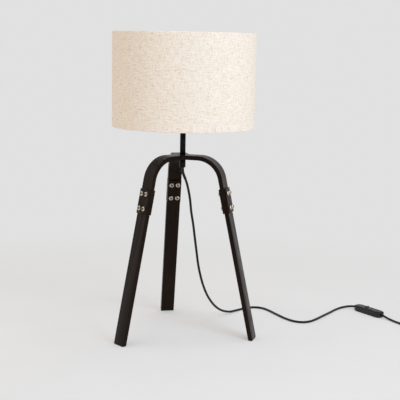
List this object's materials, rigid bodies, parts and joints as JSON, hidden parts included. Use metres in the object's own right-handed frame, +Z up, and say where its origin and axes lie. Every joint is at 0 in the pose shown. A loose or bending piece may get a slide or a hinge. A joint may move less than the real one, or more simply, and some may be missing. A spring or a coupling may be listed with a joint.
{
  "type": "table lamp",
  "caption": "Table lamp on a bent three-legged frame with bolted splices, a drum shade, an inline rocker switch and a mains cord with plug.",
  "frame": {"origin": "on the floor under the stem axis, in the plane of the three feet", "axes": "+Z up along the stem; the back leg points along +Y; the cord runs out towards +X"},
  "size_m": [0.7856, 0.3215, 0.642],
  "materials": {
    "frame_bronze": "satin dark bronze patina",
    "bolt_nickel": "satin nickel with a warm tone",
    "pad_felt": "matt black",
    "stem_black": "gloss black",
    "brass": "bright",
    "zinc_steel": "zinc plated",
    "relief_rubber": "matt black",
    "holder_black": "moulded, satin",
    "ceramic": "glazed ceramic",
    "white_wire": "white powder coat",
    "shade_liner": "matt white film",
    "shade_linen": "natural linen weave with slubs",
    "bulb_glass": "clear",
    "cap_aluminium": "rolled sheet",
    "insulator_black": "black glass",
    "filament": "coated filament and glass mount",
    "switch_plastic": "moulded, fine texture",
    "cord_black": "satin sheath",
    "plug_plastic": "moulded, fine texture",
    "pin_nickel": "nickel plated"
  },
  "bodies": {
    "frame": {"yoke": "frame_bronze", "leg_back": "frame_bronze", "leg_left": "frame_bronze", "leg_right": "frame_bronze", "outer_plate_back": "frame_bronze", "outer_plate_left": "frame_bronze", "outer_plate_right": "frame_bronze", "inner_plate_back": "frame_bronze", "inner_plate_left": "frame_bronze", "inner_plate_right": "frame_bronze", "splice_bolts_back": "bolt_nickel", "splice_bolts_left": "bolt_nickel", "splice_bolts_right": "bolt_nickel", "barrel_nuts_back": "bolt_nickel", "barrel_nuts_left": "bolt_nickel", "barrel_nuts_right": "bolt_nickel", "foot_pad_back": "pad_felt", "foot_pad_left": "pad_felt", "foot_pad_right": "pad_felt", "stem_tube": "stem_black", "threaded_nipple": "brass", "lock_washer": "zinc_steel", "sleeve_nut": "stem_black", "cord_relief": "relief_rubber", "stem_flex": "cord_black", "holder_cap": "holder_black", "holder_skirt": "holder_black", "holder_insert": "ceramic", "screw_shell": "brass", "centre_contact": "brass", "terminal_screws": "zinc_steel", "lower_shade_ring": "holder_black", "upper_shade_ring": "holder_black", "switch_base": "switch_plastic", "switch_cover": "switch_plastic", "rocker_pin": "zinc_steel", "switch_screws": "zinc_steel", "switch_contacts": "brass", "switch_flex": "cord_black", "cord_to_switch": "cord_black", "cord_to_coil": "cord_black", "cord_coil": "cord_black", "cord_to_plug": "cord_black", "coil_tie": "relief_rubber", "plug_body": "plug_plastic", "plug_pins": "pin_nickel", "plug_relief": "relief_rubber"},
    "shade": {"fitter_ring": "white_wire", "shade_spider": "white_wire", "top_hoop": "white_wire", "shade_liner": "shade_liner", "shade_fabric": "shade_linen"},
    "bulb": {"bulb_glass": "bulb_glass", "bulb_cap": "cap_aluminium", "bulb_insulator": "insulator_black", "bulb_contact": "cap_aluminium", "bulb_filament": "filament"},
    "rocker": {"switch_rocker": "switch_plastic"}
  },
  "joints": [
    {"name": "shade_turn", "type": "hinge", "parent": "frame", "child": "shade", "pos_m": [0, 0, 0.491], "axis": [0, 0, 1], "continuous": true},
    {"name": "bulb_turn", "type": "hinge", "parent": "frame", "child": "bulb", "pos_m": [0, 0, 0.49], "axis": [0, 0, 1], "continuous": true},
    {"name": "rocker_press", "type": "hinge", "parent": "frame", "child": "rocker", "pos_m": [0.465, 0.067, 0.01], "axis": [-0.9135, -0.4067, 0], "range_deg": [0, 20]}
  ]
}
